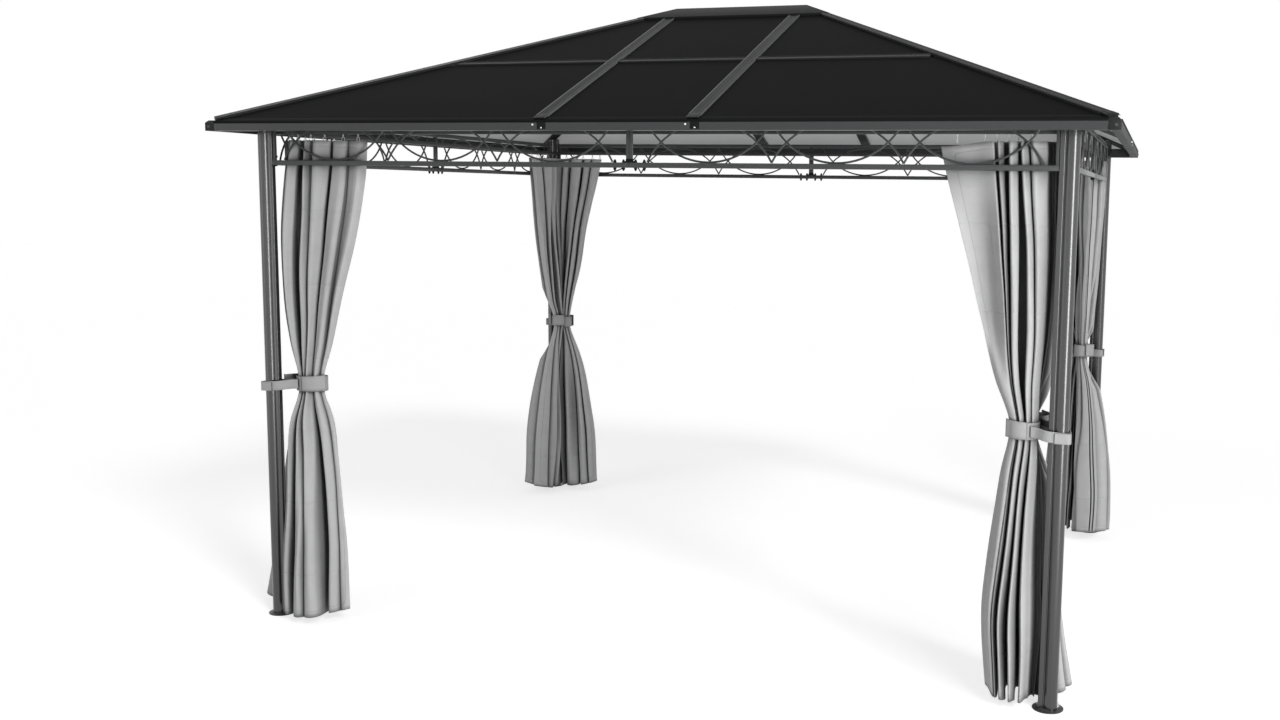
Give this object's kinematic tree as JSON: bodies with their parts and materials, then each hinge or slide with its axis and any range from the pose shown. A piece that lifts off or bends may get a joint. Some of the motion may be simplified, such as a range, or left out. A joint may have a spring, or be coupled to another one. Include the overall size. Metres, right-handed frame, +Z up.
{
  "type": "hardtop garden gazebo",
  "caption": "Metal garden gazebo with a hipped twin-wall roof, arched friezes, four fluted posts on round feet, and grey curtains tied back to the posts.",
  "frame": {"origin": "on the ground, at the middle of the plan, midway between the four posts", "axes": "+X to the right along the long sides, +Y to the back along the short sides, +Z up"},
  "size_m": [3.65, 3, 2.737],
  "materials": {
    "frame_paint": "satin anthracite powder coat",
    "roof_sheet": "smoked twin-wall polycarbonate with UV-gloss outer skin",
    "curtain_cloth": "light grey woven polyester"
  },
  "bodies": {
    "root": {"front_left_post": "frame_paint", "front_right_post": "frame_paint", "back_left_post": "frame_paint", "back_right_post": "frame_paint", "base_plates": "frame_paint", "front_left_frieze": "frame_paint", "front_right_frieze": "frame_paint", "back_left_frieze": "frame_paint", "back_right_frieze": "frame_paint", "left_front_frieze": "frame_paint", "left_back_frieze": "frame_paint", "right_front_frieze": "frame_paint", "right_back_frieze": "frame_paint", "front_eave_beam": "frame_paint", "back_eave_beam": "frame_paint", "left_eave_beam": "frame_paint", "right_eave_beam": "frame_paint", "eave_corner_caps": "frame_paint", "front_left_hip_bar": "frame_paint", "front_right_hip_bar": "frame_paint", "back_left_hip_bar": "frame_paint", "back_right_hip_bar": "frame_paint", "front_rafters": "frame_paint", "back_rafters": "frame_paint", "left_rafter": "frame_paint", "right_rafter": "frame_paint", "front_purlins": "frame_paint", "back_purlins": "frame_paint", "left_purlins": "frame_paint", "right_purlins": "frame_paint", "front_roof_sheets": "roof_sheet", "back_roof_sheets": "roof_sheet", "left_roof_sheets": "roof_sheet", "right_roof_sheets": "roof_sheet", "ridge_beam": "frame_paint", "ridge_cap": "frame_paint", "front_curtain_track": "frame_paint", "back_curtain_track": "frame_paint", "left_curtain_track": "frame_paint", "right_curtain_track": "frame_paint", "front_left_curtain": "curtain_cloth", "front_right_curtain": "curtain_cloth", "back_left_curtain": "curtain_cloth", "back_right_curtain": "curtain_cloth", "left_front_curtain": "curtain_cloth", "left_back_curtain": "curtain_cloth", "right_front_curtain": "curtain_cloth", "right_back_curtain": "curtain_cloth", "front_curtain_ties": "curtain_cloth", "back_curtain_ties": "curtain_cloth", "left_curtain_ties": "curtain_cloth", "right_curtain_ties": "curtain_cloth"}
  },
  "joints": []
}
